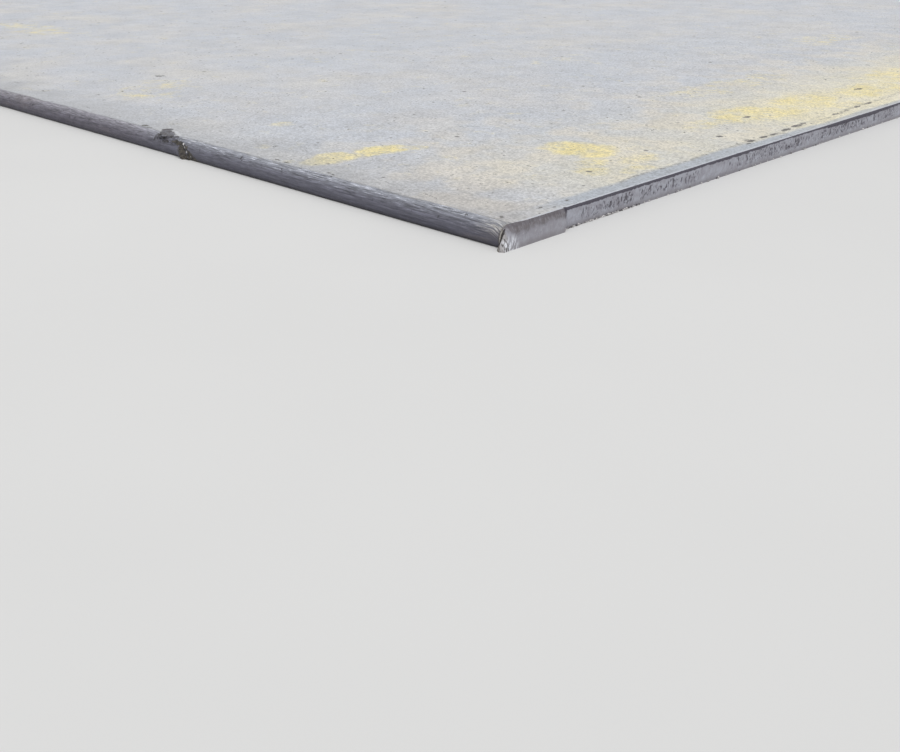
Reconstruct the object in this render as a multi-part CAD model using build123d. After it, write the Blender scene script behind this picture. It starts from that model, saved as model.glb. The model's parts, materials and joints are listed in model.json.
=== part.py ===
from build123d import *
import os

# Hot rolled steel plate, one piece of stock as it leaves the cutting table.
# The two long edges are as the rolls left them, the two ends are torch cut.
# Millimetres. +X runs along the rolling direction, +Y across the width, +Z up.
# The origin is the middle of the underside.

# Overall size of the stock
plate_length = 6000
plate_width = 2000
plate_thickness = 18

# Mill edge: a lopsided barrel, fullest below mid height. It turns over a broad
# shoulder to the top face and over a narrow one to the underside.
bulge_height = 8
top_shoulder_reach = 13
bottom_shoulder_reach = 3

# Torch cut end: the steady cut, with the arris that the flame melted
arris_height = 2
arris_depth = 0.8

# Torch cut end: the slow start of the cut, beside the mill edge where it began
run_in_length = 76
toe_reach = 4.8
run_in_lean = 3
burnt_band_height = 4.5
drag_lag = 5
start_corner_radius = 5

# Slag that ran down the corner where the torch was lit, and set there as a burr
burr_foot_from_end = 3.6
burr_foot_overhang = 0.8
burr_foot_radius = 4.4
burr_head_from_end = 6
burr_head_inset = 2.5
burr_head_radius = 1.5
burr_height = 14

# Scar that a lifting hook dragged across one mill edge
scar_head_from_end = 457
scar_foot_from_end = 429
scar_head_inset = 4
scar_radius = 11
scar_depth = 2.5

# How far the cutting shapes reach past the stock
overrun = 10

half_length = plate_length / 2
half_width = plate_width / 2
cut_face = half_length - toe_reach
cut_edge = cut_face - arris_depth


def rolled_section():
    # Section across the rolling direction, with both mill edges.
    shoulder = half_width - top_shoulder_reach
    foot = half_width - bottom_shoulder_reach
    rise = plate_thickness - bulge_height
    with BuildSketch(Plane.YZ) as section:
        with BuildLine():
            Line((-foot, 0), (foot, 0))
            EllipticalCenterArc((foot, bulge_height), bottom_shoulder_reach, bulge_height, 270, arc_size=90)
            EllipticalCenterArc((shoulder, bulge_height), top_shoulder_reach, rise, 0, arc_size=90)
            Line((shoulder, plate_thickness), (-shoulder, plate_thickness))
            EllipticalCenterArc((-shoulder, bulge_height), top_shoulder_reach, rise, 90, arc_size=90)
            EllipticalCenterArc((-foot, bulge_height), bottom_shoulder_reach, bulge_height, 180, arc_size=90)
        make_face()
    return section.sketch


def rolled_stock():
    # The plate before its ends are cut.
    return extrude(rolled_section(), amount=half_length, both=True)


def steady_cut():
    # What the torch takes off at full speed: a square face under a small melted arris.
    beyond = half_length + overrun
    above = plate_thickness + overrun
    with BuildSketch(Plane.XZ) as waste:
        with BuildLine():
            Polyline((cut_face, plate_thickness - arris_height), (cut_face, -overrun), (beyond, -overrun),
                     (beyond, above), (cut_edge, above), (cut_edge, plate_thickness))
            TangentArc((cut_face, plate_thickness - arris_height), (cut_edge, plate_thickness), tangent=(0, 1))
        make_face()
    return extrude(waste.sketch, amount=half_width + 2 * overrun, both=True)


def slow_cut():
    # What the torch takes off as it starts: the face leans out to a toe at the underside,
    # and a wide burnt band leads up to the same arris line as the steady cut.
    beyond = half_length + overrun
    above = plate_thickness + overrun
    band_foot = (half_length - run_in_lean, plate_thickness - burnt_band_height)
    with BuildSketch(Plane.XZ) as waste:
        with BuildLine():
            Polyline((half_length, 0), (half_length, -overrun), (beyond, -overrun), (beyond, above),
                     (cut_edge, above), (cut_edge, plate_thickness), band_foot, close=True)
        make_face()
    return extrude(waste.sketch, amount=half_width + 2 * overrun, both=True)


def run_in_zone():
    # The stretch beside the mill edge where the cut began. It ends along a drag line,
    # which the jet leaves behind at the underside.
    outside = -half_width - 3 * overrun
    line_head = -half_width + run_in_length
    line_foot = line_head - drag_lag
    above = plate_thickness + overrun
    with BuildSketch(Plane.YZ) as zone:
        with BuildLine():
            Polyline((line_head, plate_thickness), (line_head, above), (outside, above),
                     (outside, -overrun), (line_foot, -overrun), (line_foot, 0))
            TangentArc((line_head, plate_thickness), (line_foot, 0), tangent=(0, -1))
        make_face()
    return extrude(zone.sketch, amount=half_length + 2 * overrun, both=True)


def start_corner():
    # What the flame burns off the upright corner where it was lit.
    centre = (half_length - start_corner_radius, -half_width + start_corner_radius)
    with BuildSketch() as waste:
        with Locations((half_length, -half_width)):
            Rectangle(2 * start_corner_radius, 2 * start_corner_radius)
        with Locations(centre):
            Circle(start_corner_radius, mode=Mode.SUBTRACT)
    return extrude(waste.sketch, amount=plate_thickness)


def corner_burr():
    # A leaning cone, widest at the underside, whose head sinks into the shoulder.
    with BuildSketch() as foot:
        with Locations((half_length - burr_foot_from_end, -half_width - burr_foot_overhang)):
            Circle(burr_foot_radius)
    with BuildSketch(Plane.XY.offset(burr_height)) as head:
        with Locations((half_length - burr_head_from_end, -half_width + burr_head_inset)):
            Circle(burr_head_radius)
    return loft([foot.sketch, head.sketch])


def end_cut():
    # Everything that is burnt away at the +X end, the upright corner apart.
    zone = run_in_zone()
    return (steady_cut() - zone) + (slow_cut() & zone)


def hook_scar():
    # A round-bottomed groove, slanting down the mill edge towards the +X end.
    bite = -half_width - scar_radius + scar_depth
    head = Vector(half_length - scar_head_from_end, bite + scar_head_inset, plate_thickness)
    foot = Vector(half_length - scar_foot_from_end, bite, 0)
    along = (foot - head).normalized()
    start = Plane(origin=head - along * overrun, z_dir=along)
    length = (foot - head).length + 2 * overrun
    return extrude(start * Circle(scar_radius), amount=length)


def at_both_ends(shape):
    # The far end is cut like the near one, with the plate turned round on the table.
    return shape, shape.rotate(Axis.Z, 180)


def steel_plate():
    plate = rolled_stock() - hook_scar()
    for corner, burr, cut in zip(at_both_ends(start_corner()), at_both_ends(corner_burr()), at_both_ends(end_cut())):
        plate = plate - corner + burr - cut
    return plate


os.makedirs("parts", exist_ok=True)
export_step(steel_plate(), "parts/steel_plate.step")
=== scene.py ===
import json
import math
import random

import bmesh
import bpy
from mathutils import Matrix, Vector, noise

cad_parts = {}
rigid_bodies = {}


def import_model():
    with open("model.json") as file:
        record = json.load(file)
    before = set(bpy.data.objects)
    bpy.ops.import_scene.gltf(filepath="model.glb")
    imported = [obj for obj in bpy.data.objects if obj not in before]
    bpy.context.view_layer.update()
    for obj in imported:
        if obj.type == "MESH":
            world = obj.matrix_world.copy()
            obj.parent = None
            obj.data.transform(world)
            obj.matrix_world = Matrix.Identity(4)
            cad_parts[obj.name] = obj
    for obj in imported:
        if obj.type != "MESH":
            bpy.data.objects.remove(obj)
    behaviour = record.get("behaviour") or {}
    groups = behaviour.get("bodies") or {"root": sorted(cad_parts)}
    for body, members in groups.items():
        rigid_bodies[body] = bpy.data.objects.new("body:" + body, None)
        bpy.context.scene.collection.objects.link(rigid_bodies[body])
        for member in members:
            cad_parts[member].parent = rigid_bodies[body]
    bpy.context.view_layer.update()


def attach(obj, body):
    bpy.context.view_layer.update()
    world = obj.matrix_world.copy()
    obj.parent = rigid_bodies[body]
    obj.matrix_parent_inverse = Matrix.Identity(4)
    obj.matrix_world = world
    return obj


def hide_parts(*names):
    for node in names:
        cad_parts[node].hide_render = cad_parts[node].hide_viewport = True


# A hot rolled steel plate, torch cut at both ends. Shapes are worked out in millimetres
# and go to Blender in metres. +X runs along the rolling direction, +Z is up.
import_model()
mm = 0.001
print("frame loaded")

plate = {
    "halfLength": 3000,
    "halfWidth": 1000,                # to the fullest line of the mill edges
    "thickness": 18,
    "rows": 30,                       # rows of faces from the top edge down to the bottom edge
    "cornerZone": 20,                 # near a corner the stations close up over this length
    "topMargin": 2,                   # flat rim between the edge rows and the top face
    "bottomMargin": 3,
    "gridMargin": 40,                 # the flat grids end this far in
    "sag": 0.12,                      # the top face is this much uneven, in waves of this length
    "sagLength": 400,
}

millEdge = {
    "bulgeHeight": 8,                 # the fullest line of the rounded edge
    "topReach": 13,                   # the shoulder turns over to the top face in this width
    "bottomReach": 3,
    "waveDepth": 0.5,                 # slow waves along the plate
    "waveLength": 180,
    "lapDepth": 0.42,                 # long shallow laps from the rolls
    "lapLength": 30,
    "lapWidth": 2.2,
    "droop": 4.5,                     # the laps bend down towards the burnt corner
    "droopLength": 20,
}

torchCut = {
    "toeReach": 4.8,                  # from the steady face out to the toe of the slow start
    "arrisHeight": 2,
    "arrisDepth": 0.8,
    "runInLength": 76,                # length of the slow start beside the mill edge
    "runInLean": 3,
    "burntBand": 4.5,
    "dragLag": 5,                     # the drag lines trail this far behind at the underside
    "startCorner": 5,
    "finishCorner": 1.5,
    "sharpest": 0.4,
    "stepWidth": 1.5,
    "stepGroove": 1.1,
    "lineDepth": 0.16,
    "gougeDepth": 0.85,
    "cornerSetback": 2.2,             # the flame took this much more off the top edge at the corner
    "cornerSetbackReach": 16,
}

cornerBurr = {
    "footFromEnd": 3.6,               # slag that ran down the corner where the torch was lit
    "footOverhang": 0.8,
    "footRadius": 4.4,
    "headFromEnd": 6,
    "headInset": 2.5,
    "headRadius": 1.5,
    "height": 14,
    "reliefReach": 14,                # the ridges die out in this length of the mill edge
    "ridgeFromEnd": 8.2,              # upright ridge and cleft beside it
    "ridgeRise": 0.8,
    "cleftFromEnd": 6.5,
    "cleftDepth": 2.2,
}

hookScar = {
    "zone": (395, 550),               # the scar lies between these, from the end
    "headFromEnd": 457,               # where the groove leaves the top face
    "footFromEnd": 429,
    "headInset": 4,
    "radius": 11,
    "depth": 2.5,
    "tornDepth": 0.9,
    "darkShift": 4,                   # the dark side of the groove is towards the +X end
    "flapReach": 4.5,                 # torn metal that hangs beside the groove
    "lump": (477, 11, 0.9),           # metal pushed up beside it: from the end, half length, how full
    "glints": ((438.5, 14, 1.5), (436.5, 11.2, 1.6), (433.5, 7.2, 1.9), (424, 4, 1.2)),
}                                     # bright places: from the end, height, radius


def addObject(name, data):
    thing = bpy.data.objects.new(name, data)
    bpy.context.scene.collection.objects.link(thing)
    return thing


def smoothStep(value, low, high):
    share = min(max((value - low) / (high - low), 0), 1)
    return share * share * (3 - 2 * share)


def hump(value, centre, width):
    return math.exp(-((value - centre) / width) ** 2)


def ripple(x, y, seed, octaves=3):
    # Smooth noise from about -1 to 1, with x and y counted in its own grains
    return noise.fractal(Vector((x, y, seed)), 0.9, 2.0, octaves)


def arcDepth(reach, depth, along):
    # How far an arc has bent away after along, where it bends by depth over its reach
    radius = (depth ** 2 + reach ** 2) / (2 * depth)
    return radius - math.sqrt(radius ** 2 - along ** 2)


# Sections of the two kinds of edge, each as a distance back from the overall size
def barrelInset(height):
    bulge = millEdge["bulgeHeight"]
    if height > bulge:
        share = (height - bulge) / (plate["thickness"] - bulge)
        return millEdge["topReach"] * (1 - math.sqrt(max(1 - share ** 2, 0)))
    share = (bulge - height) / bulge
    return millEdge["bottomReach"] * (1 - math.sqrt(max(1 - share ** 2, 0)))


def steadyInset(height):
    rise = max(height - (plate["thickness"] - torchCut["arrisHeight"]), 0)
    return torchCut["toeReach"] + arcDepth(torchCut["arrisHeight"], torchCut["arrisDepth"], rise)


def slowInset(height):
    bandFoot = plate["thickness"] - torchCut["burntBand"]
    lean = torchCut["runInLean"]
    if height < bandFoot:
        return lean * height / bandFoot
    edge = torchCut["toeReach"] + torchCut["arrisDepth"]
    return lean + (edge - lean) * (height - bandFoot) / torchCut["burntBand"]


def cornerSetback(fromMill, height):
    near = 1 - smoothStep(fromMill, 2, torchCut["cornerSetbackReach"])
    return torchCut["cornerSetback"] * near * smoothStep(height, 9, 18)


def dragBehind(height):
    return arcDepth(plate["thickness"], torchCut["dragLag"], plate["thickness"] - height)


def stepLine(height):
    # Distance from the mill edge to the drag line where the slow start ends
    return torchCut["runInLength"] - dragBehind(height)


def slowShare(fromStart, height):
    half = torchCut["stepWidth"] / 2
    return smoothStep(stepLine(height) - fromStart, -half, half)


# What the rolls, the flame and the hook left on those sections
def millRelief(side, x, height, around, nearStart):
    seed = 3.1 * side
    wave = millEdge["waveDepth"] * (0.5 + 0.5 * ripple(x / millEdge["waveLength"], 0, seed))
    droop = millEdge["droop"] * nearStart
    lap = ripple(x / millEdge["lapLength"], (around - droop) / millEdge["lapWidth"], seed + 7, 2)
    dent = smoothStep(ripple(x / 31, height / 8, seed + 20), 0.35, 0.75)
    return max(wave + millEdge["lapDepth"] * (0.5 + lap) + 0.4 * dent, 0)


def startRelief(fromEnd, height, seed):
    # Ridges and one deep cleft down the mill edge beside the burnt corner; returns depth and mark
    if fromEnd > cornerBurr["reliefReach"]:
        return 0, 0
    calm = 1 - smoothStep(fromEnd, 9, 13)
    window = smoothStep(height, 2, 6) * (1 - smoothStep(height, 13.5, 16.5))
    ridges = 0.4 * ripple(fromEnd / 1.3, height / 12, seed, 2) * calm
    sway = 0.4 * math.sin(height / 2.1) + 0.3 * ripple(height / 2.2, 0, seed + 3)
    ridge = hump(fromEnd, cornerBurr["ridgeFromEnd"] + sway, 0.55) * window
    cleft = hump(fromEnd, cornerBurr["cleftFromEnd"] + sway, 1.0) * window
    depth = ridges - cornerBurr["ridgeRise"] * ridge + cornerBurr["cleftDepth"] * cleft
    return depth, cleft - 0.5 * ridge


def burrCircle(height):
    # The burr is a leaning cone: centre from the end, centre from the mill edge, radius
    share = height / cornerBurr["height"]
    if share > 1:
        return None
    fromEnd = cornerBurr["footFromEnd"] * (1 - share) + cornerBurr["headFromEnd"] * share
    fromMill = cornerBurr["headInset"] * share - cornerBurr["footOverhang"] * (1 - share)
    return fromEnd, fromMill, cornerBurr["footRadius"] * (1 - share) + cornerBurr["headRadius"] * share


def burrInset(fromEnd, height):
    circle = burrCircle(height)
    if not circle or abs(fromEnd - circle[0]) >= circle[2]:
        return math.inf
    return circle[1] - math.sqrt(circle[2] ** 2 - (fromEnd - circle[0]) ** 2)


def withinBurr(inset):
    # Nothing stands out past the foot of the burr
    return max(inset, 0.02 - cornerBurr["footOverhang"] - cornerBurr["footRadius"])


def scarInset(x, height, plainIn):
    # Groove, hanging flap and lump; returns the inset and a mark, dark above 0 and bright below
    fromEnd = plate["halfLength"] - x
    if not hookScar["zone"][0] <= fromEnd <= hookScar["zone"][1]:
        return plainIn, 0
    lean = (hookScar["headFromEnd"] - hookScar["footFromEnd"]) / plate["thickness"]
    across = fromEnd - hookScar["footFromEnd"] - lean * height
    square = across * math.cos(math.atan(lean))
    radius = hookScar["radius"]
    rough = ripple(x / 4.2, height / 4, 41, 4)
    inset, dark = plainIn, 0
    if abs(square) < radius:
        sag = radius - math.sqrt(radius ** 2 - square ** 2)
        back = hookScar["depth"] - sag + hookScar["headInset"] * height / plate["thickness"]
        inset = max(inset, back + hookScar["tornDepth"] * rough)
        dark = 1 - smoothStep(abs(square + hookScar["darkShift"]) + 3 * rough, 5, 8)
    flap = hump(across + 3 * rough, 6, 6) * (1 - smoothStep(height, 4, 12))
    inset -= hookScar["flapReach"] * flap * (1 + 0.6 * rough)
    dark *= 1 - smoothStep(height + 2 * rough, 13.5, 17)
    place, half, fullness = hookScar["lump"]
    lump = hump(fromEnd + 4 * rough, place, half) * smoothStep(height + 3 * rough, 12, 15.5)
    inset -= plainIn * fullness * lump * (0.75 + 0.6 * rough)
    for place, level, size in hookScar["glints"]:
        dark -= 2.2 * math.exp(-((fromEnd - place) ** 2 + (height - level) ** 2) / size ** 2)
    return inset, max(dark, -1)


def cutRelief(end, fromStart, height, slow):
    along = fromStart + dragBehind(height)
    seed = 5.3 * end
    lines = ripple(along / 3.2, height / 26, seed) + 0.6 * ripple(along / 1.6, height / 14, seed + 4)
    cluster = smoothStep(ripple(fromStart / 40, 0, seed + 9), -0.5, 0.2)
    stroke = smoothStep(ripple(along / 2.3 + height / 16, height / 5.5, seed + 14, 2), 0.12, 0.45)
    window = smoothStep(height, 3.5, 7) * (1 - smoothStep(height, 13, 15.5))
    gouge = stroke * window * cluster * smoothStep(fromStart, 88, 97)
    groove = hump(fromStart, stepLine(height), torchCut["stepWidth"]) * smoothStep(height, 9, 14)
    swell = 0.22 * ripple(fromStart / 70, height / 30, seed + 30)
    relief = torchCut["lineDepth"] * (1 - 0.4 * slow) * lines + torchCut["gougeDepth"] * gouge + swell
    return relief + torchCut["stepGroove"] * groove, max(0.8 * gouge, groove)


def squeeze(place, half, trim):
    # Stations near a corner close up, so that they end where the turn begins
    over = max(abs(place) - (half - plate["cornerZone"]), 0) / plate["cornerZone"]
    return math.copysign(abs(place) - over * trim, place)


def cornerRadius(isStart, millIn, cutIn):
    full = torchCut["startCorner"] if isStart else torchCut["finishCorner"]
    return max(full - 0.4 * max(millIn, cutIn), torchCut["sharpest"])


def stepsBetween(*spans):
    # Places along the spans, each (start, stop, step), with the last stop
    places = []
    for start, stop, step in spans:
        count = max(round(abs(stop - start) / step), 1)
        places += [start + (stop - start) * number / count for number in range(count)]
    return places + [spans[-1][1]]


def outline():
    # Every station round the plate, anticlockwise from the nearest corner, closest where most is seen
    halfLength = plate["halfLength"]
    halfWidth = plate["halfWidth"]
    turns = [number / 18 for number in range(1, 18)]
    nearEnd = stepsBetween((-halfWidth, -700, 0.9), (-700, -240, 1.2), (-240, halfWidth, 6))
    farSide = stepsBetween((halfLength, -halfLength + 20, 20), (-halfLength + 20, -halfLength, 0.7))
    farEnd = stepsBetween((halfWidth, halfWidth - 100, 1.5), (halfWidth - 100, -halfWidth, 9))
    fromEnd = stepsBetween((2 * halfLength, 1000, 14), (1000, 545, 5), (545, 410, 0.9), (410, 45, 3),
                           (45, 20, 1), (20, 0, 0.5))
    nearSide = [halfLength - reach for reach in fromEnd]
    runs = (("cut", 1, nearEnd), ("corner", (1, 1), turns), ("mill", 1, farSide),
            ("corner", (-1, 1), turns), ("cut", -1, farEnd), ("corner", (-1, -1), turns),
            ("mill", -1, nearSide), ("corner", (1, -1), turns))
    return [(kind, side, place) for kind, side, places in runs for place in places]


def endInset(isStart, height):
    return slowInset(height) + cornerSetback(0, height) if isStart else steadyInset(height)


def millPoint(side, place, height, margin, around):
    # The cut at +X starts at the -Y mill edge, the cut at -X at the +Y one
    isStart = side * place < 0
    plainIn = barrelInset(height)
    cutIn = endInset(isStart, height) + margin
    x = squeeze(place, plate["halfLength"], cutIn + cornerRadius(isStart, plainIn + margin, cutIn))
    fromEnd = plate["halfLength"] - abs(x)
    nearStart = 1 - smoothStep(fromEnd, 5, millEdge["droopLength"]) if isStart else 0
    inset, mark = plainIn, 0
    if not margin:
        inset += millRelief(side, x, height, around, nearStart)
        if isStart:
            depth, mark = startRelief(fromEnd, height, 60 + side)
            inset = min(inset + depth, burrInset(fromEnd, height) + 0.7 * depth)
    if side < 0 and x > 0:
        inset, scar = scarInset(x, height, inset)
        mark = mark if abs(mark) > abs(scar) else scar
    return x, side * (plate["halfWidth"] - withinBurr(inset) - margin), 0 if margin else mark


def cutPoint(end, place, height, margin):
    isStart = end * place < 0
    millIn = barrelInset(height) + margin
    startIn = endInset(isStart, height) + margin
    y = squeeze(place, plate["halfWidth"], millIn + cornerRadius(isStart, millIn, startIn))
    fromStart = plate["halfWidth"] + end * y
    slow = slowShare(fromStart, height)
    inset = steadyInset(height) + (slowInset(height) - steadyInset(height)) * slow + margin
    inset += cornerSetback(fromStart - millIn, height)
    relief, mark = (0, 0) if margin else cutRelief(end, fromStart, height, slow)
    fade = smoothStep(plate["halfWidth"] - abs(y), 1, 6)
    return end * (plate["halfLength"] - max(inset + relief * fade, 0)), y, mark * fade


def cornerPoint(sides, turn, height, margin):
    endSide, millSide = sides
    isStart = endSide * millSide < 0
    cutIn = endInset(isStart, height) + margin
    millIn = barrelInset(height) + margin
    radius = cornerRadius(isStart, millIn, cutIn)
    # Going round, a start corner is reached from the mill edge, the others from the cut
    angle = math.radians(90 * (1 - turn if isStart else turn))
    towardsEnd, towardsMill = math.cos(angle), math.sin(angle)
    centreEnd, centreMill = cutIn + radius, millIn + radius
    reach, mark = radius, 0
    if isStart and not margin:
        depth, mark = startRelief(centreEnd - radius * towardsEnd, height, 60 + millSide)
        reach = max(radius - depth, 0.1)
        circle = burrCircle(height)
        if circle:
            gapEnd, gapMill = centreEnd - circle[0], centreMill - circle[1]
            along = gapEnd * towardsEnd + gapMill * towardsMill
            root = along ** 2 - gapEnd ** 2 - gapMill ** 2 + circle[2] ** 2
            if root > 0:
                reach = max(reach, along + math.sqrt(root) - 0.7 * depth)
        if towardsEnd > 0.001:
            reach = min(reach, radius / towardsEnd)
    inset = withinBurr(centreMill - reach * towardsMill)
    x = plate["halfLength"] - centreEnd + reach * towardsEnd
    return endSide * x, millSide * (plate["halfWidth"] - inset), mark


def rowHeights():
    rows = plate["rows"]
    return [plate["thickness"] * (1 + math.cos(math.pi * row / rows)) / 2 for row in range(rows + 1)]


def arcLengths(heights):
    # Distance round the mill edge from the top face down to each height
    lengths = [0]
    for upper, lower in zip(heights, heights[1:]):
        lengths.append(lengths[-1] + math.hypot(upper - lower, barrelInset(upper) - barrelInset(lower)))
    return lengths


def bridge(outer, inner, points, upward):
    # Fills the flat strip between two closed rows of vertices with triangles
    faces = []
    i = j = 0
    while i < len(outer) or j < len(inner):
        a, b = outer[i % len(outer)], inner[j % len(inner)]
        nextA, nextB = outer[(i + 1) % len(outer)], inner[(j + 1) % len(inner)]
        outerGap = math.dist(points[nextA][:2], points[b][:2])
        outerIsNear = outerGap <= math.dist(points[a][:2], points[nextB][:2])
        if j == len(inner) or (i < len(outer) and outerIsNear):
            face = (a, nextA, b)
            i += 1
        else:
            face = (a, nextB, b)
            j += 1
        faces.append(face if upward else face[::-1])
    return faces


def gridFace(points, xs, ys, height, upward):
    # A flat grid of faces, and its border as a closed row that starts at +X, -Y
    first = len(points)
    at = [[first + i * len(ys) + j for j in range(len(ys))] for i in range(len(xs))]
    for x in xs:
        for y in ys:
            wave = 0.5 + 0.5 * ripple(x / plate["sagLength"], y / plate["sagLength"], 12)
            points.append((x, y, height - plate["sag"] * wave if upward else height))
    faces = []
    for row, nextRow in zip(at, at[1:]):
        for j in range(len(ys) - 1):
            face = (row[j], nextRow[j], nextRow[j + 1], row[j + 1])
            faces.append(face if upward else face[::-1])
    border = at[-1][:-1] + [row[-1] for row in at[:0:-1]] + at[0][:0:-1] + [row[0] for row in at[:-1]]
    return faces, border


def buildPlate():
    thickness = plate["thickness"]
    heights = rowHeights()
    millAround = arcLengths(heights)
    levels = [(thickness, plate["topMargin"], 0.0)]
    levels += [(height, 0, around) for height, around in zip(heights, millAround)]
    levels += [(0.0, plate["bottomMargin"], millAround[-1])]
    stations = outline()
    makers = {"mill": millPoint, "cut": cutPoint, "corner": cornerPoint}
    points, marks, arounds = [], [], []
    for height, margin, around in levels:
        for kind, side, place in stations:
            extra = (around,) if kind == "mill" else ()
            x, y, mark = makers[kind](side, place, height, margin, *extra)
            points.append((x, y, height))
            marks.append(mark)
            arounds.append(around)
    print("plate edges:", len(stations), "stations,", len(levels), "rows")

    count = len(stations)
    faces, onCut = [], []
    for row in range(len(levels) - 1):
        flat = row == 0 or row == len(levels) - 2
        for i in range(count):
            j = (i + 1) % count
            faces.append((row * count + i, (row + 1) * count + i, (row + 1) * count + j, row * count + j))
            onCut.append(not flat and "mill" not in (stations[i][0], stations[j][0]))
    halfLength = plate["halfLength"] - plate["gridMargin"]
    halfWidth = plate["halfWidth"] - plate["gridMargin"]
    topX = stepsBetween((-halfLength, 1500, 90), (1500, 2500, 30), (2500, halfLength, 12))
    topY = stepsBetween((-halfWidth, -400, 12), (-400, 300, 30), (300, halfWidth, 90))
    topFaces, topBorder = gridFace(points, topX, topY, thickness, True)
    faces += bridge(list(range(count)), topBorder, points, True) + topFaces
    arounds += [0.0] * (len(points) - len(arounds))
    bottomX = stepsBetween((-halfLength, halfLength, 150))
    bottomY = stepsBetween((-halfWidth, halfWidth, 150))
    bottomFaces, bottomBorder = gridFace(points, bottomX, bottomY, 0, False)
    bottomRim = [(len(levels) - 1) * count + i for i in range(count)]
    faces += bridge(bottomRim, bottomBorder, points, False) + bottomFaces
    arounds += [millAround[-1]] * (len(points) - len(arounds))
    marks += [0.0] * (len(points) - len(marks))

    mesh = bpy.data.meshes.new("plateBody")
    mesh.from_pydata([(x * mm, y * mm, z * mm) for x, y, z in points], [], faces)
    for name, values in (("mark", marks), ("around", arounds)):
        layer = mesh.attributes.new(name, "FLOAT", "POINT")
        layer.data.foreach_set("value", values)
    mesh.polygons.foreach_set("use_smooth", [True] * len(mesh.polygons))
    mesh.polygons.foreach_set("material_index", [int(cut) for cut in onCut] + [0] * (len(faces) - len(onCut)))
    mesh.set_sharp_from_angle(angle=math.radians(32))
    mesh.validate()
    print("plate body:", len(mesh.vertices), "vertices,", len(faces), "faces")
    return addObject("plateBody", mesh)


# Finishes
class NodeSheet:
    # A node tree, with short calls for the nodes that are used most
    def __init__(self, owner):
        owner.use_nodes = True
        self.tree = owner.node_tree
        self.tree.nodes.clear()

    def put(self, kind, feeds=None, **settings):
        node = self.tree.nodes.new(kind)
        for name, value in settings.items():
            setattr(node, name, value)
        for name, value in (feeds or {}).items():
            socket = node.inputs[name]
            if isinstance(value, bpy.types.NodeSocket):
                self.tree.links.new(value, socket)
            else:
                socket.default_value = (*value, 1.0) if socket.type == "RGBA" else value
        return node

    def maths(self, operation, first, second=0.0, third=0.0):
        feeds = {0: first, 1: second, 2: third}
        return self.put("ShaderNodeMath", feeds, operation=operation).outputs[0]

    def chain(self, operation, values):
        total = values[0]
        for value in values[1:]:
            total = self.maths(operation, total, value)
        return total

    def times(self, *values):
        return self.chain("MULTIPLY", values)

    def plus(self, *values):
        return self.chain("ADD", values)

    def most(self, *values):
        return self.chain("MAXIMUM", values)

    def scaled(self, value, factor, shift):
        # value * factor + shift
        return self.maths("MULTIPLY_ADD", value, factor, shift)

    def less(self, first, second):
        return self.maths("SUBTRACT", first, second)

    def swing(self, value, reach):
        # Turns a 0 to 1 noise into a shift of up to reach either way
        return self.scaled(value, 2 * reach, -reach)

    def vector(self, x, y, z):
        return self.put("ShaderNodeCombineXYZ", {0: x, 1: y, 2: z}).outputs[0]

    def stretch(self, source, x, y, z):
        feeds = {0: source, 1: (x, y, z)}
        return self.put("ShaderNodeVectorMath", feeds, operation="MULTIPLY").outputs[0]

    def step(self, value, low, high, first=0.0, last=1.0):
        feeds = {"Value": value, "From Min": low, "From Max": high, "To Min": first, "To Max": last}
        return self.put("ShaderNodeMapRange", feeds, interpolation_type="SMOOTHSTEP").outputs[0]

    def noise(self, source, scale, detail=3.0, rough=0.55, warp=0.0):
        feeds = {"Vector": source, "Scale": scale, "Detail": detail, "Roughness": rough, "Distortion": warp}
        return self.put("ShaderNodeTexNoise", feeds).outputs["Fac"]

    def cells(self, source, scale):
        feeds = {"Vector": source, "Scale": scale}
        return self.put("ShaderNodeTexVoronoi", feeds, voronoi_dimensions="2D")

    def mix(self, amount, first, second, blend="MIX"):
        feeds = {0: amount, 6: first, 7: second}
        node = self.put("ShaderNodeMix", feeds, data_type="RGBA", blend_type=blend)
        return node.outputs[2]

    def field(self, name):
        return self.put("ShaderNodeAttribute", attribute_name=name).outputs["Fac"]

    def bump(self, height, strength, distance, under=None):
        feeds = {"Height": height, "Strength": strength, "Distance": distance}
        if under:
            feeds["Normal"] = under
        return self.put("ShaderNodeBump", feeds).outputs[0]


class Finish(NodeSheet):
    # One material, with the plate's own coordinates in metres
    def __init__(self, name):
        self.material = bpy.data.materials.new(name)
        super().__init__(self.material)
        coords = self.put("ShaderNodeTexCoord").outputs["Object"]
        self.x, self.y, self.z = self.put("ShaderNodeSeparateXYZ", {0: coords}).outputs
        # Patterns grow out of their origin, so it is put well off the plate
        feeds = {0: coords, 1: (9.7, 5.3, 0)}
        self.place = self.put("ShaderNodeVectorMath", feeds, operation="ADD").outputs[0]

    def close(self, feeds):
        shader = self.put("ShaderNodeBsdfPrincipled", feeds)
        self.put("ShaderNodeOutputMaterial", {0: shader.outputs[0]})
        return self.material


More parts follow.
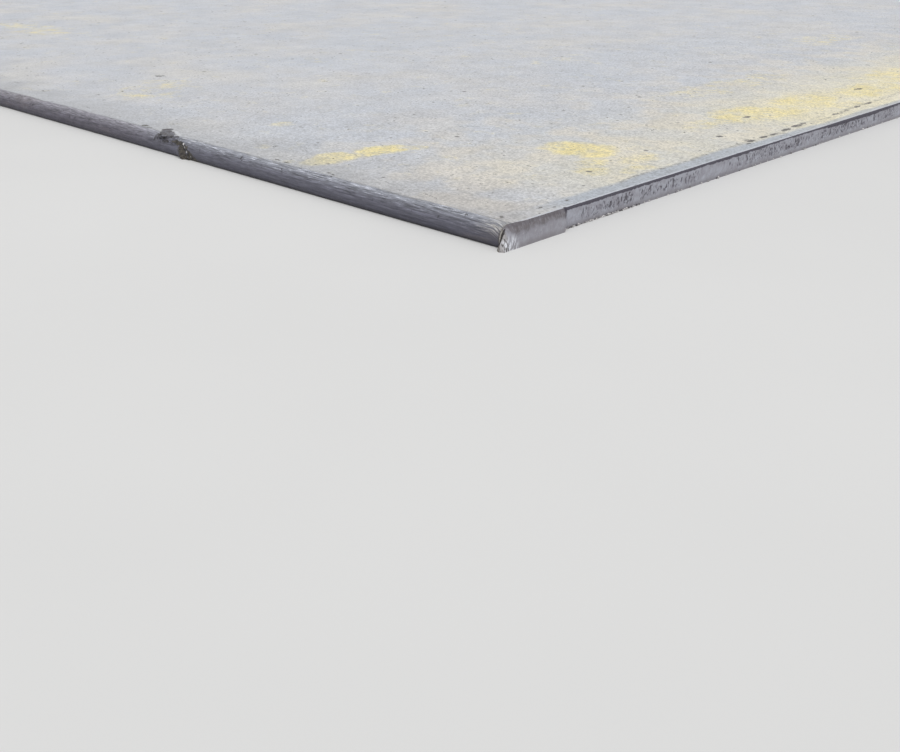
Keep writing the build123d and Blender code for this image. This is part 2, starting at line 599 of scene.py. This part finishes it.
# Colours are red, green and blue, in linear light
skinLook = {
    "grey": (0.532, 0.557, 0.608),
    "warmGrey": (0.558, 0.563, 0.586),
    "warmTint": (0.6, 0.575, 0.54),
    "cream": (0.625, 0.61, 0.575),
    "dull": (0.405, 0.412, 0.428),
    "dullWarm": (0.43, 0.415, 0.405),
    "stain": (0.77, 0.715, 0.535),
    "yellow": (0.8, 0.695, 0.34),
    "speck": (0.1, 0.095, 0.09),
    "lump": (0.075, 0.068, 0.074),
    "heatBlue": (0.4, 0.436, 0.492),
    "heatGrey": (0.455, 0.472, 0.482),
    # A painted highlight along the rounded arris of the cut
    "arrisHighlight": (0.57, 0.595, 0.65),
    # Mill edge tones, lighter on the shoulder and darker down to the foot: the scale's own dark colour with
    # painted light and shade, and a painted shadow at the foot
    "edgeShoulderLit": (0.315, 0.33, 0.38),
    "edgeMid": (0.186, 0.192, 0.228),
    "edgeDark": (0.107, 0.107, 0.138),
    "edgeLowShade": (0.073, 0.072, 0.098),
    "edgeFootShadow": (0.024, 0.022, 0.03),
    "edgeBrown": (0.15, 0.13, 0.125),
    # Pale blue streaks painted as highlights on the shoulder
    "edgeStreakHighlight": (0.56, 0.58, 0.64),
    "edgeFar": (0.9, 0.84, 0.84),
    "cornerCream": (0.5, 0.475, 0.42),
    "burnt": (0.2, 0.18, 0.165),
    "cornerDark": (0.055, 0.048, 0.045),
    "torn": (0.068, 0.058, 0.044),
    "tornDark": (0.014, 0.011, 0.01),
    # Pale streaks beside the scar, painted highlights
    "shoulderHighlight": (0.6, 0.61, 0.64),
    "glint": (0.8, 0.79, 0.77),
    "bandWidth": 18,                  # heat band beside the cut, mm
    "stainReach": 330,                # how far the warm stain reaches in from the cut, mm
    "dullReach": 100,                 # the same of the dull strip, from the mill edge
    "driftScale": 6,                  # patterns of the top face, from wide drifts to dust
    "patchScale": 26,
    "grainScale": 130,
    "dustScale": 380,
    # The darker tones lower down the mill edge are painted shade, the foot tone is a painted shadow
    "midFrom": (3.5, 9.5),            # each tone of the mill edge takes over in this stretch, mm round it
    "darkShadeFrom": (8, 16),
    "lowShadeFrom": (17, 22),
    "footShadowFrom": (21.5, 26.5),
}

# Yellow paint on the top face, each place as its distance from the +X end, its distance from
# the mill edge, its two radii in mm, and how thick the paint lies
paintMarks = [
    (272, 36, 13, 13, 0.9), (269, 50, 15, 13, 1.0), (266, 64, 13, 13, 0.95), (265, 80, 9, 11, 0.75),
    (263, 98, 14, 13, 0.95), (262, 114, 17, 14, 1.0), (259, 130, 15, 13, 0.95), (250, 141, 11, 8, 0.75),
    (242, 150, 10, 6, 0.6), (289, 22, 7, 7, 0.7), (284, 58, 9, 10, 0.8), (280, 74, 9, 10, 0.75),
    (358, 42, 9, 8, 0.6), (431, 128, 14, 12, 0.35), (743, 187, 40, 30, 0.4), (708, 132, 45, 38, 0.35),
    (150, 250, 16, 22, 0.8), (130, 248, 24, 30, 0.95), (106, 246, 18, 24, 0.8),
    (84, 216, 14, 20, 0.7), (62, 188, 14, 18, 0.6), (120, 272, 20, 14, 0.6), (60, 260, 16, 26, 0.55),
    (40, 225, 10, 20, 0.4), (104, 433, 18, 34, 0.5), (102, 519, 30, 52, 0.75), (83, 554, 28, 44, 0.7),
    (57, 531, 14, 26, 0.5), (92, 646, 32, 56, 0.65), (49, 647, 16, 45, 0.45), (69, 770, 30, 62, 0.65),
    (90, 913, 36, 80, 0.6), (222, 621, 26, 70, 0.35), (207, 743, 26, 70, 0.35), (340, 1179, 40, 100, 0.3),
    (510, 700, 30, 60, 0.25), (1429, 341, 120, 40, 0.4),
]

# Dark places where scale has come off or metal is torn up, given in the same way
chipMarks = [
    (531, 17, 5, 3, 1.0), (519, 15, 4, 2, 0.6),
    (30, 401, 1.6, 4, 0.8), (20, 387, 1.5, 4, 0.6), (25, 412, 1.5, 3, 0.6), (25, 400, 3.2, 8, 1.0),
    (25, 425, 2.4, 7, 0.8), (24, 443, 2.4, 7, 0.9), (26, 475, 3.2, 9, 1.0), (28, 500, 3.4, 10, 1.0),
    (29, 518, 2.6, 6, 0.8), (28, 593, 2.4, 8, 0.7), (28, 620, 2.0, 6, 0.7), (30, 651, 2.6, 8, 0.7),
    (30, 680, 2.6, 9, 0.8), (59, 397, 3, 4, 1.0),
    (91, 507, 3.2, 6, 1.0), (82, 767, 3.4, 9, 0.9), (25, 21, 1.8, 1.8, 0.8),
    (20, 62, 1.5, 4, 0.7), (13, 71, 1.5, 2.5, 0.6), (18, 93, 1.4, 5, 0.6), (807, 209, 10, 7, 0.5),
    (287, 17, 4, 1.4, 0.8), (303, 18, 4, 1.4, 0.7), (220, 17, 4, 1.4, 0.7), (229, 19, 3, 1.4, 0.6),
    (349, 52, 3, 3, 0.4),
]

# The metal that the hook pushed up over the shoulder, and pale streaks beside it that are painted highlights,
# in the same way
lumpMarks = [
    (487, 14, 5, 6, 1.0), (480, 12, 8, 8, 1.0), (472, 9, 8, 7, 1.0), (482, 3, 8, 8, 0.9),
    (470, 2, 9, 8, 1.0), (460, 7, 7, 5, 0.9), (495, 22, 5, 7, 1.0), (490, 18, 6, 5, 0.9),
]
brightMarks = [
    (480, 23, 4, 2.0, 1.0), (474, 20, 5, 1.9, 1.0), (466, 16.5, 6, 1.6, 1.0),
    (459, 13.5, 6, 1.4, 0.8), (452, 16, 6, 1.4, 0.7), (446, 11, 6, 1.4, 0.8), (438, 13, 7, 1.3, 0.7),
    (430, 10, 7, 1.3, 0.6), (419, 12, 8, 1.3, 0.6),
]


def markAmount(sheet, marks, fromEnd, fromEdge, reach=2.4):
    # The thickest of a list of round marks, at each place
    near = []
    for end, edge, alongX, alongY, thickness in marks:
        dx = sheet.scaled(fromEnd, 1 / alongX, -end / alongX)
        dy = sheet.scaled(fromEdge, 1 / alongY, -edge / alongY)
        away = sheet.plus(sheet.times(dx, dx), sheet.times(dy, dy))
        near.append(sheet.step(away, reach, 0.1, 0, thickness))
    return sheet.most(*near)


def topTone(sheet, look, fromEnd, fromEdge, fromArris):
    # Scale and dust: soft hues in wide patches, and light and dark at every size down to a grain
    drift = sheet.noise(sheet.place, look["driftScale"], 4, 0.6)
    patches = sheet.noise(sheet.place, look["patchScale"], 4, 0.6)
    grains = sheet.noise(sheet.place, look["grainScale"], 4, 0.8)
    dust = sheet.noise(sheet.place, look["dustScale"], 2, 0.7)
    tone = sheet.mix(sheet.step(drift, 0.34, 0.66), look["grey"], look["warmGrey"])
    tints = sheet.noise(sheet.place, 21, 2, 0.5)
    tinted = sheet.times(sheet.step(tints, 0.44, 0.66), sheet.step(fromEnd, 450, 120, 0.12, 1.0))
    tone = sheet.mix(tinted, tone, look["warmTint"])
    paleness = sheet.times(sheet.step(drift, 0.50, 0.72), sheet.step(fromEnd, 200, 700, 0, 0.5))
    tone = sheet.mix(paleness, tone, look["cream"])

    # A warm stain beside the cut, stronger away from the mill edge
    near = sheet.step(fromArris, look["stainReach"], 45)
    inward = sheet.most(sheet.step(fromEdge, 60, 170, 0, 0.45), sheet.step(fromEdge, 380, 560))
    stain = sheet.times(near, near, inward, sheet.step(patches, 0.30, 0.62, 1.15, 0.8))
    tone = sheet.mix(stain, tone, look["stain"])

    wobble = sheet.swing(sheet.noise(sheet.place, 40, 5, 0.7), 1.1)
    paint = sheet.plus(markAmount(sheet, paintMarks, fromEnd, fromEdge), wobble, sheet.swing(grains, 0.35))
    paint = sheet.step(paint, 0.10, 1.15)
    tone = sheet.mix(sheet.times(paint, 0.95), tone, look["yellow"])

    # The strip along the mill edge is duller
    dull = sheet.step(sheet.plus(fromEdge, sheet.swing(patches, 24)), look["dullReach"], 6, 0, 0.72)
    tone = sheet.mix(dull, tone, sheet.mix(sheet.step(fromEnd, 260, 80), look["dull"], look["dullWarm"]))

    coarse = sheet.plus(sheet.swing(patches, 0.17), sheet.swing(tints, 0.10))
    fine = sheet.plus(sheet.swing(grains, 0.52), sheet.swing(dust, 0.5))
    patchy = sheet.most(sheet.times(stain, 0.55), sheet.times(paint, 0.8))
    strength = sheet.scaled(patchy, 0.2, sheet.step(fromEnd, 250, 1000, 1.3, 0.65))
    shade = sheet.plus(coarse, sheet.times(fine, strength), 1.0)
    return tone, shade, patches, grains


def speckAmount(sheet):
    # Loose grit: one speck in some of the cells of a wide net, of mixed size
    specks = []
    for scale, widest in ((11, 0.030), (27, 0.045)):
        cell = sheet.cells(sheet.place, scale)
        size = sheet.put("ShaderNodeSeparateColor", {0: cell.outputs["Color"]}).outputs[0]
        limit = sheet.step(size, 0.45, 1.0, -0.012, widest)
        specks.append(sheet.step(sheet.less(cell.outputs["Distance"], limit), 0.010, -0.006))
    return sheet.most(*specks)


def edgeTones(sheet, look, around, fromMill, fromEnd, fromStart, tone):
    # Over the shoulder and down the mill edge; laps and streaks run along the rolling direction. Lighter on
    # the shoulder and darker down to the foot is painted light and shade over the scale's own dark colour.
    droop = sheet.step(fromStart, millEdge["droopLength"], 5, 0, millEdge["droop"])
    flat = sheet.most(sheet.less(fromMill, millEdge["topReach"]), 0.0)
    over = sheet.less(around, flat)
    lapPlace = sheet.vector(sheet.times(sheet.x, 26), sheet.less(over, droop), 0)
    laps = sheet.noise(sheet.stretch(lapPlace, 1, 0.5, 1), 1, 5, 0.65, 0.3)
    fineLaps = sheet.noise(sheet.stretch(lapPlace, 2.6, 0.85, 1), 1, 4, 0.7)
    wander = sheet.swing(sheet.noise(sheet.place, 9, 3), 4)
    level = sheet.plus(over, sheet.plus(sheet.swing(laps, 7), wander))
    # Painted light on the shoulder, painted shade lower down the edge
    edge = sheet.mix(sheet.step(level, *look["midFrom"]), look["edgeShoulderLit"], look["edgeMid"])
    edge = sheet.mix(sheet.step(over, *look["darkShadeFrom"]), edge, look["edgeDark"])
    edge = sheet.mix(sheet.step(over, *look["lowShadeFrom"]), edge, look["edgeLowShade"])
    brown = sheet.noise(sheet.stretch(sheet.place, 7, 7, 70), 1, 4, 0.6)
    edge = sheet.mix(sheet.step(brown, 0.54, 0.70, 0, 0.4), edge, look["edgeBrown"])

    # Cream laps reach over the shoulder at the burnt corner
    creamy = sheet.times(sheet.step(fromStart, 42, 12), sheet.step(over, 19, 8))
    creamy = sheet.times(creamy, sheet.step(fineLaps, 0.46, 0.58, 0.1, 0.7))
    edge = sheet.mix(creamy, edge, look["cornerCream"])
    # Pale blue streaks down the edge are painted highlights, strongest on the shoulder
    streakLimit = sheet.step(over, 0, 18, 0.55, 0.66)
    edgeHighlightStreak = sheet.step(sheet.less(fineLaps, streakLimit), 0.0, 0.04)
    edgeHighlightStreak = sheet.times(edgeHighlightStreak, sheet.step(over, 19, 3, 0.12, 0.72))
    edge = sheet.mix(sheet.times(edgeHighlightStreak, sheet.step(fromEnd, 540, 450, 0.35, 1)), edge, look["edgeStreakHighlight"])
    edge = sheet.mix(sheet.step(fromEnd, 440, 560), edge, sheet.mix(1.0, edge, look["edgeFar"], "MULTIPLY"))
    # Light and dark along the laps are painted light and shade, strongest up on the shoulder
    contrast = sheet.times(sheet.step(over, 20, 11, 1.3, 3.1), sheet.step(fromStart, 8, 45, 0.6, 1.0))
    lapShading = sheet.plus(sheet.swing(laps, 0.5), sheet.swing(fineLaps, 0.6))
    shade = sheet.scaled(lapShading, contrast, 1.0)
    edge = sheet.mix(1.0, edge, sheet.most(shade, 0.35), "MULTIPLY")
    # Painted shadow at the foot of the mill edge
    edge = sheet.mix(sheet.step(over, *look["footShadowFrom"]), edge, look["edgeFootShadow"])

    foot = arcLengths(rowHeights())[-1]
    isEdge = sheet.times(sheet.step(level, -1.5, 2.0), sheet.step(around, foot - 0.05, foot - 0.5))
    # Before the shoulder the top gets thin painted highlight streaks
    topHighlightStreak = sheet.times(sheet.step(over, -14, -1), sheet.step(fineLaps, 0.52, 0.62))
    tone = sheet.mix(sheet.times(topHighlightStreak, sheet.step(fromStart, 12, 40, 0.3, 0.6)), tone, look["edgeStreakHighlight"])
    scratch = sheet.times(sheet.step(over, -9, -1), sheet.step(fineLaps, 0.42, 0.34))
    tone = sheet.mix(sheet.times(scratch, 0.6), tone, look["edgeMid"])
    return sheet.mix(isEdge, tone, edge), isEdge, over, sheet.plus(laps, fineLaps)


def rolledSkin():
    sheet = Finish("rolledSkin")
    look = skinLook
    fromEnd = sheet.scaled(sheet.x, -1 / mm, plate["halfLength"])
    fromEdge = sheet.scaled(sheet.y, 1 / mm, plate["halfWidth"])
    fromMill = sheet.scaled(sheet.maths("ABSOLUTE", sheet.y), -1 / mm, plate["halfWidth"])
    arris = plate["halfLength"] - torchCut["toeReach"] - torchCut["arrisDepth"]
    fromArris = sheet.scaled(sheet.maths("ABSOLUTE", sheet.x), -1 / mm, arris)
    # Near a start corner x and y have opposite signs, elsewhere this distance counts as long
    opposite = sheet.step(sheet.times(sheet.x, sheet.y), -0.1, 0.1, 0, 400)
    fromStart = sheet.plus(fromArris, 5.6, opposite)
    around = sheet.field("around")
    mark = sheet.field("mark")

    tone, shade, patches, grains = topTone(sheet, look, fromEnd, fromEdge, fromArris)

    # The heat band beside the torch cut, with scale chipped off along its inner side
    wobble = sheet.swing(sheet.noise(sheet.place, 18, 5, 0.65), 7)
    bandEdge = sheet.plus(fromArris, wobble)
    bandWidth = sheet.step(fromEdge, 250, 600, look["bandWidth"], 0.5 * look["bandWidth"])
    inBand = sheet.step(sheet.less(bandEdge, bandWidth), 4, -4)
    heated = sheet.times(inBand, sheet.step(fromEdge, 25, 110))
    bandTone = sheet.mix(sheet.step(fromEdge, 430, 560), look["heatBlue"], look["heatGrey"])
    tone = sheet.mix(sheet.times(heated, 0.92), tone, bandTone)
    tone = sheet.mix(1.0, tone, shade, "MULTIPLY")
    tone = sheet.mix(sheet.times(speckAmount(sheet), 0.85), tone, look["speck"])
    chipLine = sheet.step(fromEdge, 560, 660, look["bandWidth"], look["bandWidth"] + 9)
    onLine = sheet.step(sheet.maths("ABSOLUTE", sheet.less(bandEdge, chipLine)), 4.5, 0.5)
    chipNoise = sheet.step(sheet.noise(sheet.place, 210, 5, 0.8), 0.48, 0.58, 0, 0.7)
    crowded = sheet.times(sheet.step(fromEdge, 410, 440), sheet.step(fromEdge, 760, 690))
    chipRuns = sheet.most(sheet.step(sheet.noise(sheet.place, 8, 2, 0.5), 0.46, 0.56), crowded)
    placed = markAmount(sheet, chipMarks, fromEnd, fromEdge, 1.8)
    crumbs = sheet.swing(sheet.noise(sheet.place, 420, 3, 0.7), 1.3)
    ragged = sheet.plus(placed, sheet.plus(sheet.swing(grains, 1.3), crumbs))
    ragged = sheet.times(sheet.step(ragged, 0.34, 0.62), sheet.step(placed, 0.0, 0.2, 0, 0.9))
    chip = sheet.most(sheet.times(onLine, chipNoise, chipRuns), ragged)
    tone = sheet.mix(chip, tone, look["speck"])
    # A painted highlight along the rounded arris of the cut
    rim = sheet.times(sheet.step(fromArris, 3.6, 1.0, 0, 0.9), sheet.step(grains, 0.62, 0.45, 0.4, 1.0))
    tone = sheet.mix(rim, tone, look["arrisHighlight"])

    tone, isEdge, over, lapRelief = edgeTones(sheet, look, around, fromMill, fromEnd, fromStart, tone)
    tornNoise = sheet.noise(sheet.place, 260, 4, 0.75)
    lump = markAmount(sheet, lumpMarks, fromEnd, fromEdge, 1.6)
    lump = sheet.step(sheet.plus(lump, sheet.swing(grains, 1.5)), 0.30, 0.60)
    lumpTone = sheet.mix(sheet.step(grains, 0.42, 0.60), look["edgeDark"], look["lump"])
    lumpTone = sheet.mix(sheet.step(tornNoise, 0.48, 0.58, 0, 0.85), lumpTone, look["tornDark"])
    tone = sheet.mix(sheet.times(lump, sheet.step(over, 18, 12), 0.95), tone, lumpTone)
    tone = sheet.mix(sheet.times(ragged, sheet.step(fromEdge, 2, 8)), tone, look["speck"])
    # Painted highlight streaks along the shoulder beside the scar
    bright = markAmount(sheet, brightMarks, fromEnd, fromEdge, 1.6)
    bright = sheet.step(sheet.plus(bright, sheet.swing(grains, 0.7)), 0.35, 0.75, 0, 0.9)
    tone = sheet.mix(bright, tone, look["shoulderHighlight"])

    # The burnt strip at the start corner and the torn metal of the scar
    strip = sheet.times(sheet.step(fromStart, 11, 8.5), sheet.step(around, 1, 4))
    soot = sheet.noise(sheet.stretch(sheet.place, 900, 60, 50), 1, 3)
    sooty = sheet.mix(sheet.step(soot, 0.42, 0.62), look["cornerDark"], look["burnt"])
    sooty = sheet.mix(sheet.step(soot, 0.58, 0.68, 0, 0.5), sooty, look["cornerCream"])
    tone = sheet.mix(sheet.times(strip, 0.9), tone, sooty)
    torn = sheet.mix(sheet.step(tornNoise, 0.42, 0.58), look["torn"], look["tornDark"])
    tornBright = sheet.step(sheet.noise(sheet.place, 190, 4, 0.7), 0.58, 0.70, 0, 0.6)
    torn = sheet.mix(tornBright, torn, look["edgeMid"])
    tone = sheet.mix(sheet.step(mark, 0.15, 0.6, 0, 0.95), tone, torn)
    # The cleft beside the burnt corner is painted near black: painted shade in the recess
    cleft = sheet.times(sheet.step(mark, 0.3, 0.6), sheet.step(fromStart, 16, 12))
    tone = sheet.mix(cleft, tone, look["tornDark"])
    tone = sheet.mix(sheet.step(mark, -0.15, -0.7, 0, 0.95), tone, look["glint"])

    normal = sheet.bump(sheet.plus(sheet.times(grains, 0.5), patches), 0.5, 0.0007)
    normal = sheet.bump(sheet.times(lapRelief, isEdge), 0.8, 0.0010, normal)
    roughness = sheet.step(grains, 0.3, 0.7, 0.46, 0.66)
    return sheet.close({"Base Color": tone, "Roughness": roughness, "Normal": normal, "Metallic": 0.0,
                        "Specular IOR Level": 0.4})


cutLook = {
    "lilac": (0.31, 0.306, 0.352),
    "paleGrey": (0.395, 0.405, 0.462),
    "frost": (0.52, 0.53, 0.585),
    "brown": (0.185, 0.165, 0.17),
    "cream": (0.3, 0.285, 0.285),
    "burnt": (0.122, 0.108, 0.117),
    "cleft": (0.03, 0.025, 0.025),
    "melted": (0.06, 0.054, 0.074),
    "gouge": (0.08, 0.074, 0.09),
    "shine": (0.78, 0.8, 0.86),
    "foot": (0.19, 0.175, 0.185),
    "meltedNear": 2.5,                # height of the melted edge near the slow start, mm
    "meltedFar": 1.7,
    "dwellHeight": 2.0,               # how much higher it is where the torch dwelt, mm
    "dwell": (500, 560, 640, 730),    # that place begins and ends in these stretches, from the start
}


def torchCutSteel():
    sheet = Finish("torchCutSteel")
    look = cutLook
    thickness = plate["thickness"]
    height = sheet.times(sheet.z, 1 / mm)
    # Both cuts are measured from the mill edge where they start
    turned = sheet.times(sheet.y, sheet.maths("SIGN", sheet.x))
    fromStart = sheet.scaled(turned, 1 / mm, plate["halfWidth"])
    depth = sheet.less(thickness, height)
    lag = sheet.times(depth, depth, torchCut["dragLag"] / thickness ** 2)
    along = sheet.plus(fromStart, lag)
    mark = sheet.field("mark")
    slow = sheet.step(along, torchCut["runInLength"] + 0.8, torchCut["runInLength"] - 0.8)

    lines = sheet.noise(sheet.vector(along, sheet.times(height, 0.12), 0), 0.8, 4, 0.65)
    mottle = sheet.noise(sheet.vector(along, height, 3), 0.13, 6, 0.68)
    fine = sheet.noise(sheet.vector(along, sheet.times(height, 0.5), 5), 0.55, 5, 0.7)
    tone = sheet.mix(sheet.step(mottle, 0.40, 0.62), look["lilac"], look["paleGrey"])
    tone = sheet.mix(sheet.step(lines, 0.44, 0.33, 0.0, 0.4), tone, look["brown"])
    tone = sheet.mix(sheet.step(fine, 0.56, 0.68, 0.0, 0.5), tone, look["frost"])

    # Short dark strokes between the drag lines
    runs = sheet.step(sheet.noise(sheet.vector(along, 0, 21), 0.022, 2), 0.36, 0.50)
    leaning = sheet.scaled(height, 0.10, along)
    stroke = sheet.noise(sheet.vector(leaning, sheet.times(height, 0.36), 8), 0.85, 3, 0.6)
    below = sheet.less(sheet.step(fromStart, 150, 400, 12, 16), height)
    window = sheet.times(sheet.step(height, 3, 5.5), sheet.step(below, -1, 1))
    steady = sheet.step(fromStart, 88, 104)
    strokes = sheet.times(sheet.step(stroke, 0.53, 0.60), window, runs, steady)
    tone = sheet.mix(sheet.times(strokes, 0.95), tone, look["gouge"])
    # Short upright marks in the burnt strip, a little before the step
    ticks = sheet.step(sheet.noise(sheet.vector(along, 0, 33), 0.9, 1), 0.56, 0.64)
    ticks = sheet.times(ticks, sheet.step(fromStart, 44, 50), sheet.step(fromStart, 62, 58))
    ticks = sheet.times(ticks, sheet.step(height, 13, 14.5))
    tone = sheet.mix(sheet.times(ticks, 0.7), tone, look["gouge"])
    tone = sheet.mix(sheet.step(mark, 0.10, 0.6, 0, 0.85), tone, look["gouge"])
    tone = sheet.mix(sheet.step(height, 5.5, 0.8, 0, 0.6), tone, look["foot"])

    # The slow start: burnt brown at the top, blue grey below, bright streaks at the corner
    tone = sheet.mix(sheet.times(slow, 0.26), tone, look["brown"])
    bandFoot = sheet.plus(sheet.step(fromStart, 3, 14, 5, 0), sheet.step(fromStart, 20, 70, 11, 13))
    burnt = sheet.less(sheet.plus(height, sheet.swing(mottle, 9)), bandFoot)
    burnt = sheet.times(sheet.step(burnt, -4, 3), slow, sheet.step(fine, 0.66, 0.40, 0.6, 1))
    tone = sheet.mix(burnt, tone, look["burnt"])
    atStep = sheet.maths("ABSOLUTE", sheet.less(along, torchCut["runInLength"]))
    notch = sheet.step(sheet.plus(atStep, sheet.swing(fine, 2)), 3.2, 1.2)
    notch = sheet.times(notch, sheet.step(height, 9, 12))
    tone = sheet.mix(notch, tone, look["gouge"])
    nearCorner = sheet.times(sheet.step(fromStart, 18, 5), sheet.step(height, 12.5, 6))
    glint = sheet.noise(sheet.vector(along, sheet.times(height, 0.22), 9), 0.75, 4, 0.7)
    tone = sheet.mix(sheet.times(nearCorner, sheet.step(glint, 0.45, 0.56)), tone, look["shine"])
    ridges = sheet.noise(sheet.stretch(sheet.place, 750, 750, 55), 1, 2)
    upright = sheet.mix(sheet.step(ridges, 0.40, 0.50), look["cleft"], look["cream"])
    # Pale spots low on the corner are painted highlights
    cornerShineSpots = sheet.times(sheet.step(ridges, 0.46, 0.55), sheet.step(height, 10, 5))
    upright = sheet.mix(sheet.times(cornerShineSpots, sheet.step(fromStart, -4, 0)), upright, look["shine"])
    tone = sheet.mix(sheet.step(fromStart, 4, 1.5, 0, 0.9), tone, upright)
    # The cleft beside the burnt corner is painted near black: painted shade in the recess
    cleft = sheet.times(sheet.step(mark, 0.2, 0.5), sheet.step(fromStart, 14, 8))
    tone = sheet.mix(cleft, tone, look["cleft"])

    # The melted edge, thicker where the torch dwelt
    wash = sheet.plus(height, sheet.swing(sheet.noise(sheet.place, 90, 5, 0.7), 2.4))
    begins, full, wanes, ends = look["dwell"]
    dwell = sheet.times(sheet.step(fromStart, begins, full), sheet.step(fromStart, ends, wanes))
    limit = sheet.step(fromStart, 340, 430, thickness - look["meltedNear"], thickness - look["meltedFar"])
    limit = sheet.scaled(dwell, -look["dwellHeight"], limit)
    melted = sheet.step(sheet.less(wash, limit), -0.4, 0.4)
    melted = sheet.times(melted, sheet.scaled(slow, -0.75, 1.0))
    tone = sheet.mix(sheet.times(melted, 0.95), tone, look["melted"])
    tone = sheet.mix(sheet.step(mark, -0.15, -0.7, 0, 0.9), tone, look["shine"])

    normal = sheet.bump(lines, 0.7, 0.0008)
    normal = sheet.bump(sheet.noise(sheet.place, 600, 4, 0.65), 0.35, 0.0006, normal)
    roughness = sheet.scaled(melted, 0.25, sheet.step(lines, 0.3, 0.7, 0.42, 0.60))
    return sheet.close({"Base Color": tone, "Roughness": roughness, "Normal": normal, "Metallic": 0.1})


drossLook = {
    "dark": (0.075, 0.07, 0.075),
    "pale": (0.62, 0.6, 0.6),
    "seed": 11,
    "size": (0.5, 1.0),               # radius of a drop, mm
}


def drossSteel():
    sheet = Finish("drossSteel")
    shade = sheet.step(sheet.noise(sheet.place, 260, 3, 0.6), 0.42, 0.60)
    tone = sheet.mix(shade, drossLook["dark"], drossLook["pale"])
    normal = sheet.bump(sheet.noise(sheet.place, 1500, 2), 0.5, 0.0003)
    return sheet.close({"Base Color": tone, "Roughness": 0.38, "Normal": normal, "Metallic": 0.3})


def buildDross():
    # Drops of slag that hang along the foot of both cuts, close together near the slow start
    draw = random.Random(drossLook["seed"])
    drop = bmesh.new()
    bmesh.ops.create_icosphere(drop, subdivisions=2, radius=1)
    drop.verts.index_update()
    corners = [vertex.co.copy() for vertex in drop.verts]
    triangles = [tuple(vertex.index for vertex in face.verts) for face in drop.faces]
    drop.free()
    points, faces = [], []
    small, large = drossLook["size"]
    for end in (1, -1):
        place = stepLine(0) + 2
        while place < 2 * plate["halfWidth"] - 8:
            sparse = smoothStep(place, 150, 230)
            radius = draw.uniform(small, large)
            stretchX, stretchY, stretchZ = (draw.uniform(0.8, 1.3) for axis in range(3))
            centreX = plate["halfLength"] - torchCut["toeReach"] + radius * 0.45
            first = len(points)
            for corner in corners:
                lump = 1 + 0.16 * ripple(corner.x * 2, corner.y * 2, place)
                x = centreX + corner.x * radius * stretchX * lump
                y = place - plate["halfWidth"] + corner.y * radius * stretchY * lump
                z = radius * stretchZ * 0.85 * (1 + corner.z * lump)
                points.append((end * x * mm, end * y * mm, max(z, 0) * mm))
            faces += [tuple(first + corner for corner in triangle) for triangle in triangles]
            place += draw.uniform(1.5, 2.8) + sparse * draw.uniform(0, 24)
    mesh = bpy.data.meshes.new("cutDross")
    mesh.from_pydata(points, [], faces)
    mesh.polygons.foreach_set("use_smooth", [True] * len(faces))
    print("dross:", len(faces), "triangles")
    return addObject("cutDross", mesh)


# Floor, light and camera
studio = {
    "floorSize": 90,
    "floorTone": (0.74, 0.74, 0.735),
    "floorPale": (0.78, 0.78, 0.775),
    "skyStrength": 0.55,
    "keyStrength": 1.55,
    "keyTurn": (34, 18, 20),          # degrees
    "keySoftness": 55,
}

shot = {
    "place": (3.50743, -1.58769, 0.25135),
    "down": 24.5688,                  # degrees below level
    "heading": 43.999,                # degrees from +Y towards -X
    "lens": 42.8498,
    "sensor": 36,
}


def floorFinish():
    sheet = Finish("paleFloor")
    shade = sheet.step(sheet.noise(sheet.place, 0.8, 4, 0.6), 0.3, 0.7)
    tone = sheet.mix(shade, studio["floorTone"], studio["floorPale"])
    return sheet.close({"Base Color": tone, "Roughness": 0.85, "Specular IOR Level": 0.1})


def buildFloor():
    half = studio["floorSize"] / 2
    mesh = bpy.data.meshes.new("paleFloor")
    corners = [(-half, -half, 0), (half, -half, 0), (half, half, 0), (-half, half, 0)]
    mesh.from_pydata(corners, [], [(0, 1, 2, 3)])
    mesh.materials.append(floorFinish())
    floor = addObject("paleFloor", mesh)


def lightStudio():
    world = bpy.data.worlds.new("softSky")
    bpy.context.scene.world = world
    sheet = NodeSheet(world)
    # White to the camera and in reflections, dimmer where it lights the plate
    ray = sheet.put("ShaderNodeLightPath").outputs
    seen = sheet.most(ray["Is Camera Ray"], ray["Is Glossy Ray"], ray["Is Transmission Ray"])
    feeds = {"Value": seen, "To Min": studio["skyStrength"], "To Max": 1.0}
    strength = sheet.put("ShaderNodeMapRange", feeds).outputs[0]
    sky = sheet.put("ShaderNodeBackground", {"Color": (1, 1, 1), "Strength": strength})
    sheet.put("ShaderNodeOutputWorld", {0: sky.outputs[0]})
    lamp = bpy.data.lights.new("keyLight", "SUN")
    lamp.energy = studio["keyStrength"]
    lamp.angle = math.radians(studio["keySoftness"])
    key = addObject("keyLight", lamp)
    key.rotation_euler = [math.radians(turn) for turn in studio["keyTurn"]]


def setCamera():
    lens = bpy.data.cameras.new("camera")
    lens.sensor_fit = "HORIZONTAL"
    lens.sensor_width = shot["sensor"]
    lens.lens = shot["lens"]
    lens.clip_end = 200
    camera = addObject("camera", lens)
    camera.location = shot["place"]
    camera.rotation_euler = (math.radians(90 - shot["down"]), 0, math.radians(shot["heading"]))
    bpy.context.scene.camera = camera


setCamera()
lightStudio()
buildFloor()
bpy.context.scene.view_settings.view_transform = "Standard"
print("studio ready")

plateBody = buildPlate()
plateBody.data.materials.append(rolledSkin())
plateBody.data.materials.append(torchCutSteel())
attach(plateBody, "root")
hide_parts("steel_plate")

cutDross = buildDross()
cutDross.data.materials.append(drossSteel())
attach(cutDross, "root")
